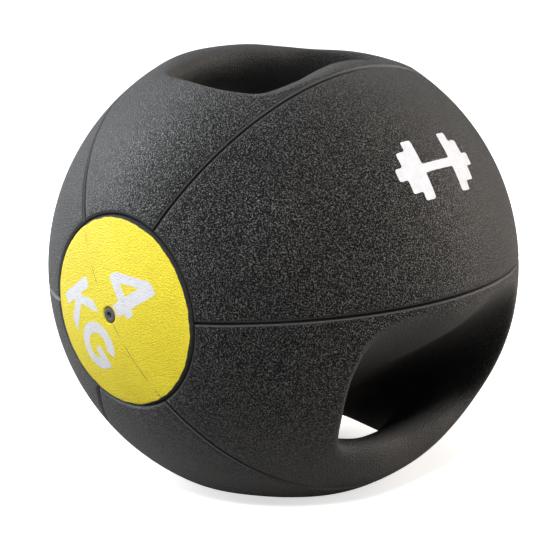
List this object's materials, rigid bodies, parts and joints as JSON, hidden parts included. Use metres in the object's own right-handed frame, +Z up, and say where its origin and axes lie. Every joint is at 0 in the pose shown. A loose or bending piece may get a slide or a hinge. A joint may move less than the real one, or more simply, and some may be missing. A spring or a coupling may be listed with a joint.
{
  "type": "dual-grip medicine ball",
  "caption": "Round rubber exercise ball, air filled, with a moulded grab handle on each of two sides and a hand tunnel under each handle.",
  "frame": {"origin": "centre of the ball", "axes": "+Z up when the ball stands on its two flats, -Y through the disc with the valve, +X to the right"},
  "size_m": [0.23, 0.2299, 0.208],
  "materials": {
    "cover_rubber": "black, finely pebbled",
    "disc_rubber": "yellow, finely pebbled",
    "carcass_rubber": "black, as moulded",
    "bladder_rubber": "black, smooth",
    "valve_rubber": "dark grey, smooth",
    "mark_ink": "white ink printed on the rubber"
  },
  "bodies": {
    "root": {"mouth_panel_upper_right": "cover_rubber", "mouth_panel_lower_right": "cover_rubber", "mouth_panel_upper_left": "cover_rubber", "mouth_panel_lower_left": "cover_rubber", "plain_panel_right": "cover_rubber", "plain_panel_left": "cover_rubber", "side_disc_valve": "disc_rubber", "side_disc_plain": "disc_rubber", "carcass_half_right": "carcass_rubber", "carcass_half_left": "carcass_rubber", "air_bladder": "bladder_rubber", "valve_body": "valve_rubber", "valve_plug": "valve_rubber"}
  },
  "joints": []
}
